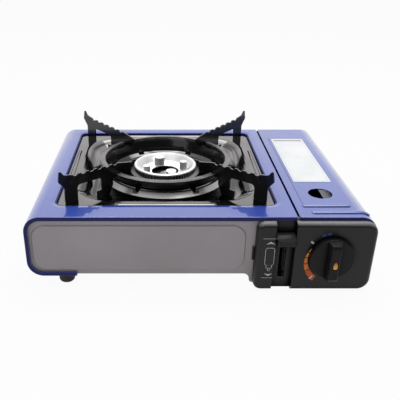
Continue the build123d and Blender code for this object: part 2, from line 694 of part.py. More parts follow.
def pusher_plate():
    x0 = CAM_X + CAM_THICK
    x1 = x0 + PUSHER_WIDTH
    z0 = TRAY_TOP + BAR_HEIGHT / 2
    points = [(x0, z0), (x1, z0), (x1, z0 + PUSHER_HEIGHT), (x0, z0 + BAR_HEIGHT)]
    return slab(outline(points, [0, 4, 12, 0]), PUSHER_Y - CAM_THICK, PUSHER_Y)


# Gas parts


def governor_screw_spots():
    return [(AXIS_X - 0.7 * GOVERNOR_LEFT, KNOB_Z + 0.65 * GOVERNOR_HALF),
            (AXIS_X + 0.6 * GOVERNOR_RIGHT, KNOB_Z - 0.65 * GOVERNOR_HALF)]


def governor_body():
    x0 = AXIS_X - GOVERNOR_LEFT
    x1 = AXIS_X + GOVERNOR_RIGHT
    z0 = KNOB_Z - GOVERNOR_HALF
    z1 = KNOB_Z + GOVERNOR_HALF
    points = [(x0, z1), (x1, z1), (x1, z0), (x0, z0)]
    body = slab(outline(points, [3] * 4), INNER_FRONT, GOVERNOR_Y)
    body += rod_y(AXIS_X, KNOB_Z, INLET_BOSS_R, GOVERNOR_Y, GOVERNOR_Y + INLET_BOSS)
    body -= rod_y(AXIS_X, KNOB_Z, SPINDLE_R + RUNNING_FIT, INNER_FRONT, INNER_FRONT + SPINDLE_DEPTH)
    seat = GOVERNOR_Y + INLET_BOSS
    body -= rod_y(AXIS_X, KNOB_Z, NOZZLE_R, seat - NOZZLE_SEAT, seat)
    for x, z in governor_screw_spots():
        body -= rod_y(x, z, SCREW_R, INNER_FRONT, INNER_FRONT + 4 * SCREW_R)
    return body


def governor_cover():
    x0 = AXIS_X + GOVERNOR_RIGHT
    middle = (INNER_FRONT + GOVERNOR_Y) / 2
    step = x0 + COVER_FLANGE
    flange = cheek(Pos(middle, KNOB_Z) * Circle(0.9 * GOVERNOR_HALF), x0, step)
    return flange + cheek(Pos(middle, KNOB_Z) * Circle(0.6 * GOVERNOR_HALF), step, x0 + COVER_RISE)


def inlet_nozzle():
    y0 = GOVERNOR_Y + INLET_BOSS - NOZZLE_SEAT
    end = y0 + NOZZLE_LENGTH
    nozzle = rod_y(AXIS_X, KNOB_Z, NOZZLE_R, y0, end)
    return nozzle - rod_y(AXIS_X, KNOB_Z, NOZZLE_BORE_R, end - NOZZLE_BORE, end)


def inlet_seal():
    y0 = GOVERNOR_Y + INLET_BOSS
    ring = Pos(AXIS_X, KNOB_Z) * (Circle(SEAL_R) - Circle(NOZZLE_R))
    return slab(ring, y0, y0 + SEAL_THICK)


def cartridge_guide():
    x0 = AXIS_X - GUIDE_HALF
    x1 = AXIS_X + GUIDE_HALF
    points = [(x0, KNOB_Z + GUIDE_HALF), (x1, KNOB_Z + GUIDE_HALF), (x1, TRAY_TOP), (x0, TRAY_TOP)]
    guide = outline(points, [8, 8, 0, 0]) - Pos(AXIS_X, KNOB_Z) * Circle(GUIDE_HOLE_R)
    guide += rect(AXIS_X - 2, AXIS_X + 2, KNOB_Z + GUIDE_HOLE_R - 4, KNOB_Z + GUIDE_HALF)
    return slab(guide, GUIDE_Y, GUIDE_Y + GUIDE_THICK)


def gas_run():
    """Bend point of the pipe and the unit step from there to the burner."""
    bend = Vector(SHIELD_X - 4 * PIPE_R, PIPE_Y, PIPE_Z)
    step = Vector(BURNER_X, BURNER_Y, PIPE_Z) - bend
    return bend, step.normalized(), step.length


def gas_pipe():
    bend, step, _ = gas_run()
    points = [Vector(AXIS_X - GOVERNOR_LEFT, PIPE_Y, PIPE_Z), bend, bend + step * 8 * PIPE_R]
    return tube_along(points, PIPE_R, 3 * PIPE_R) - tube_along(points, PIPE_BORE_R, 3 * PIPE_R)


def rod_along(start, end, radius):
    step = end - start
    return extrude(Plane(start, z_dir=step) * Circle(radius), amount=step.length)


def gas_jet():
    bend, step, _ = gas_run()
    start = bend + step * 8 * PIPE_R
    hexagon = Plane(start, z_dir=step) * RegularPolygon(2 * PIPE_R, 6)
    return extrude(hexagon, amount=2 * PIPE_R) + rod_along(start, start + step * 4 * PIPE_R, PIPE_R)


def mixing_tube():
    bend, step, length = gas_run()
    start = bend + step * 9 * PIPE_R
    end = bend + step * (length - NECK_R + NECK_WALL / 2)
    return rod_along(start, end, TUBE_R) - rod_along(start, end, TUBE_BORE_R)


def burner_body():
    inner = NECK_R - NECK_WALL
    neck_z = TOP_HEIGHT - NECK_TOP
    crown_z = CROWN_TOP - CROWN_HEIGHT
    crown_in = CROWN_R - CROWN_WALL
    skirt_top = SKIRT_Z + BRACKET_SHEET
    outside = [(0, NECK_BOTTOM), (NECK_R, NECK_BOTTOM), (NECK_R, neck_z), (SKIRT_R, SKIRT_Z),
               (SKIRT_R, skirt_top), (CROWN_R, crown_z), (CROWN_R, CROWN_TOP)]
    inside = [(crown_in, CROWN_TOP), (crown_in, skirt_top), (inner, neck_z),
              (inner, NECK_BOTTOM + NECK_WALL), (0, NECK_BOTTOM + NECK_WALL)]
    points = outside + inside
    body = turned(points, BURNER_X, BURNER_Y)
    bend, step, length = gas_run()
    body -= rod_along(bend + step * length / 2, bend + step * (length - inner / 2), TUBE_R)
    port = Pos(CROWN_R, 0) * Box(3 * CROWN_WALL, PORT_WIDTH, CROWN_HEIGHT)
    ports = [Rot(0, 0, 360 * i / PORT_COUNT) * port for i in range(PORT_COUNT)]
    return body - Pos(BURNER_X, BURNER_Y, CROWN_TOP - CROWN_HEIGHT / 2) * Compound(children=ports)


def burner_cap():
    top = TOP_HEIGHT + CAP_RISE
    floor = top - DISH_DEPTH
    inner = CROWN_R - CROWN_WALL - FIT
    under = floor - BRACKET_SHEET
    upper = [(CAP_R, CROWN_TOP), (CAP_R, top - 0.8), (CAP_R - 1, top), (CAP_R - 3, top),
             (CAP_R - 9, floor + 0.8), (CAP_R - 11, floor), (CAP_HOLE_R, floor)]
    lower = [(CAP_HOLE_R, under), (CAP_R - 10, under), (inner, CROWN_TOP - FIT), (inner, CROWN_TOP)]
    cap = turned(upper + lower, BURNER_X, BURNER_Y)
    for i, radius in enumerate(POST_RADII):
        angle = math.radians(POST_ANGLE + 360 * i / len(POST_RADII))
        x = BURNER_X + POST_CIRCLE * math.cos(angle)
        y = BURNER_Y + POST_CIRCLE * math.sin(angle)
        cap += rod_z(x, y, radius, floor - SHEET / 2, floor + POST_RISE)
    return cap


def burner_screw():
    low = NECK_BOTTOM + NECK_WALL
    head = SKIRT_Z - 2 * SCREW_HEAD
    shank = rod_z(BURNER_X, BURNER_Y, 1.5 * SCREW_R, low, head)
    return shank + rod_z(BURNER_X, BURNER_Y, 1.6 * SCREW_HEAD_R, head, head + SCREW_HEAD)


def bracket_screw_spots():
    out = 3 * NECK_R
    return [(BURNER_X - out, BURNER_Y), (BURNER_X + out, BURNER_Y)]


def burner_bracket():
    half = 0.8 * NECK_R
    arm = 2.3 * NECK_R
    y0 = BURNER_Y - half
    y1 = BURNER_Y + half
    strap = block(BURNER_X - arm, BURNER_X + arm, y0, y1, NECK_BOTTOM - BRACKET_SHEET, NECK_BOTTOM)
    for side in (-1, 1):
        near = BURNER_X + side * arm
        far = BURNER_X + side * (arm + 1.3 * NECK_R)
        inner = near - side * BRACKET_SHEET
        strap += block(min(near, inner), max(near, inner), y0, y1, FLOOR_TOP, NECK_BOTTOM)
        strap += block(min(inner, far), max(inner, far), y0, y1, FLOOR_TOP, FLOOR_TOP + BRACKET_SHEET)
    for x, y in bracket_screw_spots():
        strap -= rod_z(x, y, SCREW_R, FLOOR_TOP, FLOOR_TOP + BRACKET_SHEET)
    return strap


def screws_z(spots, z_head, z_tip):
    """Screws along Z, their heads on z_head, their shanks down to z_tip."""
    group = []
    for x, y in spots:
        head = rod_z(x, y, SCREW_HEAD_R, z_head, z_head + SCREW_HEAD)
        group.append(head + rod_z(x, y, SCREW_R, z_tip, z_head))
    return group


def electrode_bracket():
    radial = Pos(BURNER_X, BURNER_Y) * Rot(0, 0, ELECTRODE_ANGLE)
    strip = radial * rect(NECK_R / 2, ELECTRODE_CIRCLE + 2 * ELECTRODE_R, -2 * ELECTRODE_R, 2 * ELECTRODE_R)
    strip -= Pos(BURNER_X, BURNER_Y) * Circle(NECK_R)
    strip -= Pos(ELECTRODE_X, ELECTRODE_Y) * Circle(ELECTRODE_R)
    return plate(strip, ELECTRODE_Z - BRACKET_SHEET, ELECTRODE_Z)


def electrode_ceramic():
    low = ELECTRODE_Z - 3 * ELECTRODE_R
    return rod_z(ELECTRODE_X, ELECTRODE_Y, ELECTRODE_R, low, SKIRT_Z + ELECTRODE_R)


def electrode_tip():
    low = Vector(ELECTRODE_X, ELECTRODE_Y, SKIRT_Z + ELECTRODE_R)
    knee = Vector(ELECTRODE_X, ELECTRODE_Y, CROWN_TOP - SHEET)
    toward = (Vector(BURNER_X, BURNER_Y, knee.Z) - knee).normalized()
    tip = knee + toward * (ELECTRODE_CIRCLE - CAP_R - 2 * ELECTRODE_R)
    return tube_along([low, knee, tip], ELECTRODE_R / 3, ELECTRODE_R)


def igniter():
    x1 = AXIS_X - GOVERNOR_LEFT
    z0 = IGNITER_Z - IGNITER_HEIGHT / 2
    z1 = IGNITER_Z + IGNITER_HEIGHT / 2
    points = [(x1 - IGNITER_WIDTH, z1), (x1, z1), (x1, z0), (x1 - IGNITER_WIDTH, z0)]
    return slab(outline(points, [3, 0, 0, 3]), INNER_FRONT, INNER_FRONT + IGNITER_LENGTH)


def lead_points():
    """Route of the lead from the rear of the igniter to the foot of the electrode."""
    x = AXIS_X - GOVERNOR_LEFT - 0.7 * IGNITER_WIDTH
    y = INNER_FRONT + IGNITER_LENGTH
    turn = GOVERNOR_Y + 4 * LEAD_R
    low = ELECTRODE_Z - 3 * ELECTRODE_R
    level = low - 4 * LEAD_R
    near = ELECTRODE_X + 25 * LEAD_R
    past = SHIELD_X - 10 * LEAD_R
    return [Vector(x, y, IGNITER_Z), Vector(x, turn, IGNITER_Z), Vector(SHIELD_X, turn, IGNITER_Z),
            Vector(past, turn, IGNITER_Z), Vector(near, ELECTRODE_Y, level),
            Vector(ELECTRODE_X, ELECTRODE_Y, level), Vector(ELECTRODE_X, ELECTRODE_Y, low)]


def igniter_lead():
    points = lead_points()
    del points[2]
    return tube_along(points, LEAD_R, 2.5 * LEAD_R)


# Drip pan and pan support


def pan_square(half, corner, z):
    return Pos(BURNER_X, BURNER_Y, z) * RectangleRounded(2 * half, 2 * half, corner)


def drip_pan():
    half = WELL_SIZE / 2 - PAN_GAP
    pan = plate(pan_square(half, WELL_R - PAN_GAP, 0), LEDGE_Z, RIM_Z)
    under = [pan_square(DISH_HALF + SHEET, DISH_CORNER + SHEET, LEDGE_Z),
             pan_square(FLOOR_HALF + SHEET, FLOOR_CORNER + SHEET, PAN_FLOOR_Z - SHEET)]
    over = [pan_square(DISH_HALF, DISH_CORNER, RIM_Z), pan_square(FLOOR_HALF, FLOOR_CORNER, PAN_FLOOR_Z)]
    dish = loft(over)
    dish = fillet(dish.faces().sort_by(Axis.Z)[0].edges(), FLOOR_BEND_R)
    pan += loft(under)
    pan -= dish
    top = pan.faces().filter_by(Axis.Z).sort_by(Axis.Z)[-1]
    pan = fillet(top.inner_wires()[0].edges(), PAN_BEND_R)
    pan -= rod_z(BURNER_X, BURNER_Y, COLLAR_R + COLLAR_SLOPE, PAN_FLOOR_Z - SHEET, PAN_FLOOR_Z)
    pan += pan_collar()
    for i in range(4):
        pan += Pos(BURNER_X, BURNER_Y) * Rot(0, 0, 90 * i) * pan_bead()
    notch = Pos(COLLAR_R, 0, PAN_FLOOR_Z + COLLAR_RISE)
    notch = notch * Box(RING_TAB_NOTCH, RING_TAB_WIDTH + 1.5, 2 * (RING_TAB_DROP + FIT))
    notches = [Rot(0, 0, angle) * notch for angle in ring_tab_angles()]
    return pan - Pos(BURNER_X, BURNER_Y) * Compound(children=notches)


def pan_collar():
    """A rounded ridge that carries the ring, with a slope to the floor and one to the shelf."""
    z = PAN_FLOOR_Z
    crest = z + COLLAR_RISE
    shelf = z + SHELF_RISE
    r0 = COLLAR_R - COLLAR_TOP / 2
    r1 = COLLAR_R + COLLAR_TOP / 2
    foot_in = r0 - COLLAR_SLOPE
    foot_out = r1 + COLLAR_SLOPE
    upper = [(foot_out + SHEET, z), (foot_out, z), (r1 + SHEET, crest - SHEET / 2), (r1, crest), (r0, crest),
             (r0 - SHEET, crest - SHEET / 2), (foot_in, shelf), (PAN_HOLE_R, shelf)]
    under = crest - 1.4 * SHEET
    lower = [(PAN_HOLE_R, shelf - SHEET), (foot_in + SHEET / 2, shelf - SHEET), (r0, under), (r1, under),
             (foot_out - SHEET / 2, z - SHEET), (foot_out + SHEET, z - SHEET)]
    return turned(upper + lower, BURNER_X, BURNER_Y)


def pan_bead():
    axis_z = RIM_Z + BEAD_RISE - BEAD_R
    half = BEAD_LENGTH / 2 - BEAD_R
    bar = Pos(0, BEAD_OUT, axis_z) * Rot(0, 90, 0) * Cylinder(BEAD_R, 2 * half)
    bar += Pos(-half, BEAD_OUT, axis_z) * Sphere(BEAD_R) + Pos(half, BEAD_OUT, axis_z) * Sphere(BEAD_R)
    return bar & Pos(0, BEAD_OUT, RIM_Z + BEAD_R - SHEET / 2) * Box(BEAD_LENGTH, 4 * BEAD_R, 2 * BEAD_R)


def ring_tab_angles():
    return [90 - TAB_ANGLE, 90 + TAB_ANGLE, 270 - TAB_ANGLE, 270 + TAB_ANGLE]


def pan_support_ring():
    low = PAN_FLOOR_Z + COLLAR_RISE + FIT
    high = TOP_HEIGHT + RING_RISE
    rim = RING_TOP_R + RING_RIM
    edge = high - RING_RIM_SAG
    points = [(RING_BOTTOM_R, low), (RING_TOP_R, high - RING_SHEET), (rim, edge - RING_SHEET), (rim, edge),
              (RING_TOP_R - RING_SHEET, high), (RING_BOTTOM_R - RING_SHEET, low)]
    ring = turned(points, BURNER_X, BURNER_Y)
    for angle in ring_tab_angles():
        tab = Pos(RING_BOTTOM_R - RING_SHEET / 2, 0, low - RING_TAB_DROP / 2)
        tab = tab * Box(RING_SHEET, RING_TAB_WIDTH, RING_TAB_DROP + SHEET / 2)
        ring += Pos(BURNER_X, BURNER_Y) * Rot(0, 0, angle) * tab
    for angle in ARM_ANGLES.values():
        notch = Pos(RING_TOP_R, 0, high) * Box(2 * RING_RIM + 4 * RING_SHEET, ARM_THICK, 2 * ARM_SEAT)
        ring -= Pos(BURNER_X, BURNER_Y) * Rot(0, 0, angle) * notch
    return ring


def arm_outline():
    """Side view of an arm in radius and height above the worktop."""
    seat = RING_RISE - ARM_SEAT
    foot = FIT - RIM_DROP - PAN_DEPTH
    leg_in = LEG_OUTER - LEG_WIDTH
    inner_out = INNER_LEG + INNER_LEG_WIDTH
    rest = ARM_REST_RISE
    tip = rest + ARM_TIP_RISE
    edge_in = (0.9 * INNER_LEG, rest - ARM_EDGE_DROP)
    edge_out = (leg_in + ARM_TIP / 2, rest)
    tab_out = inner_out + FOOT_TAB
    tab_top = foot + FOOT_TAB_HEIGHT
    upper = [(ARM_INNER, rest - ARM_END_DROP), edge_in, edge_out, (LEG_OUTER, rest + ARM_TIP_FOOT),
             (ARM_REACH - 2 * ARM_TIP_EDGE, tip), (ARM_REACH - ARM_TIP_EDGE, tip - ARM_TIP_EDGE / 6),
             (ARM_REACH, rest - ARM_TIP_UNDER)]
    upper_radii = [1.2, 8, 3, 5, 0.6, 0.6, 2.5]
    sole = FIT - RIM_DROP
    leg = [(LEG_OUTER, rest - ARM_DEPTH), (LEG_OUTER, sole), (leg_in, sole),
           (leg_in, rest - ARM_DEPTH_MIDDLE)]
    leg_radii = [4, 0, 0, 4]
    inner_leg = [(inner_out, rest - ARM_DEPTH_INNER), (inner_out, tab_top), (tab_out, tab_top),
                 (tab_out, foot), (INNER_LEG + HEEL, foot), (INNER_LEG, foot + 2 * HEEL),
                 (INNER_LEG, seat), (RING_BOTTOM_R - HEEL, seat)]
    inner_leg_radii = [4, 1.5, 1.5, 0.8, 0.8, 2, 3, 1]
    side = outline(upper + leg + inner_leg, upper_radii + leg_radii + inner_leg_radii)
    slope = (edge_out[1] - edge_in[1]) / (edge_out[0] - edge_in[0])
    for i in range(SCALLOP_COUNT):
        r = edge_out[0] - 2 - i * SCALLOP_PITCH
        z = edge_out[1] - slope * (edge_out[0] - r)
        side -= Pos(r, z + SCALLOP_R - SCALLOP_DEPTH) * Circle(SCALLOP_R)
    return side


def support_arm(angle):
    turn = math.radians(angle)
    along = (math.cos(turn), math.sin(turn), 0)
    normal = (math.sin(turn), -math.cos(turn), 0)
    plane = Plane(origin=(BURNER_X, BURNER_Y, TOP_HEIGHT), x_dir=along, z_dir=normal)
    return extrude(plane * arm_outline(), amount=ARM_THICK / 2, both=True)


# Feet and screws


def left_foot_spots():
    return [(LEFT + LEFT_FOOT_X, y) for y in (FRONT_Y + FOOT_INSET, REAR_Y - FOOT_INSET)]


def right_foot_spots():
    return [(TRAY_RIGHT - RIGHT_FOOT_X, y) for y in (FRONT_Y + FOOT_INSET, REAR_Y - FOOT_INSET)]


def foot(spot, height):
    pad = rod_z(spot[0], spot[1], FOOT_R, 0, height)
    pad = fillet(pad.faces().sort_by(Axis.Z)[0].edges(), min(FOOT_EDGE_R, 0.6 * height))
    return pad - rod_z(spot[0], spot[1], SCREW_R, 0.5 * height, height)


def control_panel_screws():
    return screws_y(panel_screw_spots(), INNER_FRONT, SCREW_HEAD, SHEET + CHANNEL_FLOOR)


def governor_screws():
    return screws_y(governor_screw_spots(), FASCIA_Y, -SCREW_HEAD, -SHEET - 4 * SCREW_R)


def bracket_screws():
    return Compound(children=screws_z(bracket_screw_spots(), FLOOR_TOP + BRACKET_SHEET, FLOOR_Z))


def foot_screws():
    group = screws_z(left_foot_spots(), FLOOR_TOP, 0.5 * LEFT_CLEAR)
    return Compound(children=group + screws_z(right_foot_spots(), TRAY_TOP, 0.5 * TRAY_CLEAR))


# Every node

NODES = {
    "top_shell": top_shell,
    "front_panel": front_panel,
    "rear_panel": rear_panel,
    "base_plate": base_plate,
    "cartridge_tray": cartridge_tray,
    "heat_shield": heat_shield,
    "control_panel": control_panel,
    "control_panel_screws": control_panel_screws,
    "foot_front_left": lambda: foot(left_foot_spots()[0], LEFT_CLEAR),
    "foot_rear_left": lambda: foot(left_foot_spots()[1], LEFT_CLEAR),
    "foot_front_right": lambda: foot(right_foot_spots()[0], TRAY_CLEAR),
    "foot_rear_right": lambda: foot(right_foot_spots()[1], TRAY_CLEAR),
    "foot_screws": foot_screws,
    "drip_pan": drip_pan,
    "pan_support_ring": pan_support_ring,
    "burner_cap": burner_cap,
    "burner_body": burner_body,
    "burner_screw": burner_screw,
    "burner_bracket": burner_bracket,
    "bracket_screws": bracket_screws,
    "mixing_tube": mixing_tube,
    "gas_jet": gas_jet,
    "gas_pipe": gas_pipe,
    "electrode_ceramic": electrode_ceramic,
    "electrode_tip": electrode_tip,
    "electrode_bracket": electrode_bracket,
    "igniter": igniter,
    "igniter_lead": igniter_lead,
    "governor_body": governor_body,
    "governor_cover": governor_cover,
    "governor_screws": governor_screws,
    "inlet_nozzle": inlet_nozzle,
    "inlet_seal": inlet_seal,
    "cartridge_guide": cartridge_guide,
    "valve_spindle": valve_spindle,
    "knob": knob,
    "lever_tab": lever_tab,
    "lever_slide": lever_slide,
    "pusher_bar": pusher_bar,
    "pusher_plate": pusher_plate,
    "lid": lid,
    "lid_label": lid_label,
}
for end, y in HINGE_YS.items():
    NODES["hinge_pin_" + end] = lambda y=y: hinge_pin(y)
for name, angle in ARM_ANGLES.items():
    NODES["support_arm_" + name] = lambda angle=angle: support_arm(angle)

for node, make in NODES.items():
    export_step(make(), "parts/" + node + ".step")
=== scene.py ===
import json
import math

import bmesh
import bpy
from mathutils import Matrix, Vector


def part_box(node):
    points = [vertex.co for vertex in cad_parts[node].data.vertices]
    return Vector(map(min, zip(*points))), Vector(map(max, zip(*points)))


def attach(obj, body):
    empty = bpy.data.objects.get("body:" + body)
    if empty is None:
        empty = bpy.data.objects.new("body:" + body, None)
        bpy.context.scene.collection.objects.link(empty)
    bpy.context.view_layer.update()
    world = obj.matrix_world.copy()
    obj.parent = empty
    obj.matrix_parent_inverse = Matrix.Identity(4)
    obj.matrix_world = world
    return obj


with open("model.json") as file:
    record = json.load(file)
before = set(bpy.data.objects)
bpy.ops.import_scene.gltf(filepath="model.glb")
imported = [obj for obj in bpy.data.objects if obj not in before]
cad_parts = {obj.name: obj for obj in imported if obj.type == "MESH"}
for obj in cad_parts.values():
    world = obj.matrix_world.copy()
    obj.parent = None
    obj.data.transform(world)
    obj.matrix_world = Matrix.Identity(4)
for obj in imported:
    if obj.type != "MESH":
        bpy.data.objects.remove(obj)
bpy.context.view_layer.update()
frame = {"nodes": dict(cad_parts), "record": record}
nodes = frame["nodes"]
slots = {part["node"]: part["material_slot"] for part in frame["record"]["subparts"]}

# Sizes in metres
MM = 0.001
PRINT_RISE = 0.05 * MM
WELD = 0.01 * MM
FLOOR_SIZE = 12
FLOOR_DROP = 0.2 * MM

# Reach of the shade in gaps and recesses, and of the posts about the burner's axis
GAP_REACH = 5 * MM
RECESS_REACH = 14 * MM
POSTS_REACH = 26.5 * MM

# Drip pan: waves of the drawn sheet, with painted dark reflection streaks, measured from its rim, and the
# front slope of its collar, painted lighter as a highlight
RIM_BELOW_TOP = 1 * MM
PAN_WAVE = 0.12 * MM
PAN_WAVES_OUT = 150
PAN_WAVES_ROUND = 6
WAVES_BEGIN = -1 * MM
WAVES_FULL = -3 * MM
DISH_STRAIGHT = 58 * MM
COLLAR_REACH = 76 * MM
COLLAR_FADE = 3 * MM
COLLAR_FRONT = (-15 * MM, -35 * MM)
COLLAR_HIGHLIGHT = 1.9
COLLAR_DULLER = 0.22

# Well in the worktop that holds the pan, round whose rolled edge a shade line is painted
WELL_GAP = 1.5 * MM
WELL_CORNER = 8 * MM
WELL_ROLL = 1.8 * MM

# Camera of the photograph
CAMERA_PLACE = (-0.03845, -0.58717, 0.32134)
CAMERA_PITCH = 26.38
CAMERA_LENS = 49.97
CAMERA_SENSOR = 36
CAMERA_SHIFT = (0.1003, 0.0203)

# Studio: diffuse light, what shows in the gloss, and the directions between which that changes
DAYLIGHT = 0.50
FRONT_LIGHT = 0.25
LIGHT_SPAN = (-0.8, 0.2)
DIM_ROOM = 0.05
CEILING = 0.85
SWEEP_SPAN = (-0.30, 0.45)
CEILING_SPAN = (0.40, 0.85)
FLOOR_GLOW = 0.94

# Lamps: place, size and power
LAMP_AIM = (0, 0, 0.05)
OVERHEAD_PLACE = (0.1, 0.25, 1.5)
OVERHEAD_SIZE = (1.4, 1.2)
OVERHEAD = 13
FRONT_FILL_PLACE = (-0.9, -1.3, 1.1)
FRONT_FILL_SIZE = (1.0, 1.0)
FRONT_FILL = 3.5

# Colours
WHITE = (1, 1, 1)
FLOOR_GREY = (0.86, 0.86, 0.86)
BLUE = (0.040, 0.090, 0.490)
# Dark navy of the painted shade on the blue paint
SHADE_BLUE = (0.011, 0.013, 0.105)
# Grey of the painted highlight on the tops of the black plastic
TOP_SHEEN_GREY = (0.30, 0.294, 0.303)
FLAME_YELLOW = (0.85, 0.55, 0.05)
FLAME_RED = (0.62, 0.04, 0.01)
BLUE_COAT = 1.0

# Widths of the softened edges, for the nodes that show
ARM_EDGE = 0.35 * MM
SOFT_EDGES = {
    "control_panel": 0.5 * MM,
    "knob": 0.6 * MM,
    "lever_tab": 0.7 * MM,
    "pan_support_ring": 0.3 * MM,
    "burner_cap": 0.4 * MM,
    "burner_body": 0.2 * MM,
    "top_shell": 0.25 * MM,
    "lid": 0.25 * MM,
    "front_panel": 0.25 * MM,
    "lid_label": 0.1 * MM,
}
for name in nodes:
    if name.startswith("support_arm"):
        SOFT_EDGES[name] = ARM_EDGE
SOFT_ANGLE = 38

# Nodes whose finish isn't the one of their slot
OWN_FINISH = {
    "knob": "knob_plastic",
    "burner_body": "shaded_aluminium",
    "burner_cap": "bright_aluminium",
    "drip_pan": "pan_sheet",
    "lever_tab": "tab_plastic",
    "lever_slide": "dark_steel",
    "pusher_bar": "dark_steel",
}

# Places read from the frame
panel_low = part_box("control_panel")[0]
knob_low, knob_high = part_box("knob")
label_low, label_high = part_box("lid_label")
pan_low, pan_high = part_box("drip_pan")
PAN_AXIS = ((pan_low.x + pan_high.x) / 2, (pan_low.y + pan_high.y) / 2, pan_high.z - RIM_BELOW_TOP)
WELL_HALF = (pan_high.x - pan_low.x) / 2 + WELL_GAP
PANEL_Y = panel_low.y
KNOB_X = (knob_low.x + knob_high.x) / 2
KNOB_Z = (knob_low.z + knob_high.z) / 2
GRIP_Y = knob_low.y

# Printed scale round the knob: angles in degrees, radii at its two ends
SCALE_START = 151
SCALE_END = 241
SCALE_INNER = (20.6 * MM, 25.0 * MM)
SCALE_OUTER = (21.2 * MM, 31.4 * MM)
SCALE_STEPS = ((151, 166), (169, 181), (183, 197), (199, 214), (216, 241))
SCALE_COLOURS = ((0.80, 0.52, 0.05), (0.78, 0.33, 0.03), (0.74, 0.21, 0.02),
                 (0.72, 0.18, 0.02), (0.60, 0.09, 0.01))

# Ticks and dashes of the scale: two angles, then the inner and outer radius
TICKS = ((139, 143, 23.5 * MM, 27.0 * MM), (233, 236, 26.5 * MM, 31.0 * MM))
DASHES = ((96, 104, 24.2 * MM, 26.4 * MM), (107, 115, 24.2 * MM, 26.4 * MM))

# Marks beside the lever: their middle from the panel's left edge, arrows and lines
MARKS_FROM_LEFT = 15.7 * MM
ARROW_HALF = 4.4 * MM
ARROW_RISE = 3.0 * MM
ARROW_HOLLOW = 0.8 * MM
UP_ARROW = 54.2 * MM
DOWN_ARROW = 21.4 * MM
MARK_LINE = 0.4 * MM
MARK_LINES = ((-7.5 * MM, 6.5 * MM, 60.2 * MM), (-6.5 * MM, 4.5 * MM, 16.2 * MM))

# Cartridge outline beside the lever: half width, low end, high end and corner of each step
OUTLINE_WIDTH = 0.45 * MM
CARTRIDGE_STEPS = ((4.6 * MM, 30.5 * MM, 50.4 * MM, 2.6 * MM),
                   (3.0 * MM, 27.2 * MM, 31.0 * MM, 1.2 * MM),
                   (1.2 * MM, 24.4 * MM, 27.4 * MM, 0.6 * MM))
LEAST_CORNER = 0.1 * MM

# Flame on the grip, measured from the knob's middle
FLAME_ASIDE = 0.4 * MM
FLAME_BELOW = 4.8 * MM
FLAME_ABOVE = 3.0 * MM
FLAME_HALF = 2.0 * MM
FLAME_TIP = 0.05 * MM
FLAME_FOOT = 0.22
FLAME_BULGE = 0.8
FLAME_POINTS = 8

# Print on the label: frame line and bar, measured from the label's edges
LABEL_MARGIN = 2.2 * MM
LABEL_CORNER = 1.5 * MM
LABEL_LINE = 0.4 * MM
BAR_MARGIN = 2.6 * MM
BAR_FROM_REAR = (8.6 * MM, 5.4 * MM)


# Node helpers


def make_node(tree, kind, inputs=None, **settings):
    """A shader node with its settings, and its inputs given as values or as sockets to link."""
    made = tree.nodes.new(kind)
    for key, value in settings.items():
        setattr(made, key, value)
    for key, value in (inputs or {}).items():
        if isinstance(value, bpy.types.NodeSocket):
            tree.links.new(value, made.inputs[key])
        else:
            made.inputs[key].default_value = value
    return made


def math_node(tree, operation, first, second):
    return make_node(tree, "ShaderNodeMath", {0: first, 1: second}, operation=operation).outputs[0]


def vector_node(tree, operation, *values):
    """Outputs of a vector operation: Vector, or Value for a length or a product of two."""
    return make_node(tree, "ShaderNodeVectorMath", dict(enumerate(values)), operation=operation).outputs


def part_along(tree, vector, axis):
    return make_node(tree, "ShaderNodeSeparateXYZ", {"Vector": vector}).outputs[axis]


def remap(tree, value, low, high, to_low=0.0, to_high=1.0):
    made = make_node(tree, "ShaderNodeMapRange", {
        "Value": value, "From Min": low, "From Max": high, "To Min": to_low, "To Max": to_high})
    return made.outputs["Result"]


def product(tree, first, *others):
    for other in others:
        first = math_node(tree, "MULTIPLY", first, other)
    return first


def opposite(tree, mask):
    """Zero where the mask is one, and one where it is zero."""
    return math_node(tree, "SUBTRACT", 1.0, mask)


def mix_colour(tree, factor, first, second):
    return make_node(tree, "ShaderNodeMix", {0: factor, 6: first, 7: second}, data_type="RGBA").outputs[2]


def opaque(colour):
    return (*colour, 1.0)


def scaled(colour, factor):
    return opaque([min(1.0, channel * factor) for channel in colour])


# Places and masks on the object


def place_in_object(tree):
    """Coordinates in metres, in the frame of the object."""
    return make_node(tree, "ShaderNodeTexCoord").outputs["Object"]


def noise(tree, scale, detail):
    made = make_node(tree, "ShaderNodeTexNoise",
                     {"Vector": place_in_object(tree), "Scale": scale, "Detail": detail})
    return made.outputs["Fac"]


def grain(tree, scale, detail, low=0.0, high=1.0):
    """Noise with its usual range spread from low to high."""
    return remap(tree, noise(tree, scale, detail), 0.3, 0.7, low, high)


def mottled(tree, colour, scale, detail, dark, light):
    """The colour in patches between two shares of it."""
    return mix_colour(tree, grain(tree, scale, detail), scaled(colour, dark), scaled(colour, light))


def edge_mask(tree, radius):
    """One along edges and corners, zero on flat and gently curved faces."""
    bevel = make_node(tree, "ShaderNodeBevel", {"Radius": radius}, samples=4)
    geometry = make_node(tree, "ShaderNodeNewGeometry")
    alike = vector_node(tree, "DOT_PRODUCT", bevel.outputs["Normal"], geometry.outputs["Normal"])["Value"]
    return remap(tree, alike, 0.98, 0.80)


def facing(tree, axis):
    """How far a face looks along an axis of the object, whatever the pose."""
    coords = make_node(tree, "ShaderNodeTexCoord")
    return part_along(tree, coords.outputs["Normal"], axis)


def up_facing(tree, low, high):
    """One on faces that look up while the lid is shut, zero on upright ones."""
    return remap(tree, facing(tree, "Z"), low, high)


def not_leaning_forward(tree, low, high):
    """Zero on faces that lean to the front of the stove, one on the rest."""
    return remap(tree, facing(tree, "Y"), low, high)


def open_place(tree, distance, low, high):
    """One in the open, zero in gaps and corners narrower than distance."""
    made = make_node(tree, "ShaderNodeAmbientOcclusion", {"Distance": distance}, samples=8)
    return remap(tree, made.outputs["AO"], low, high)


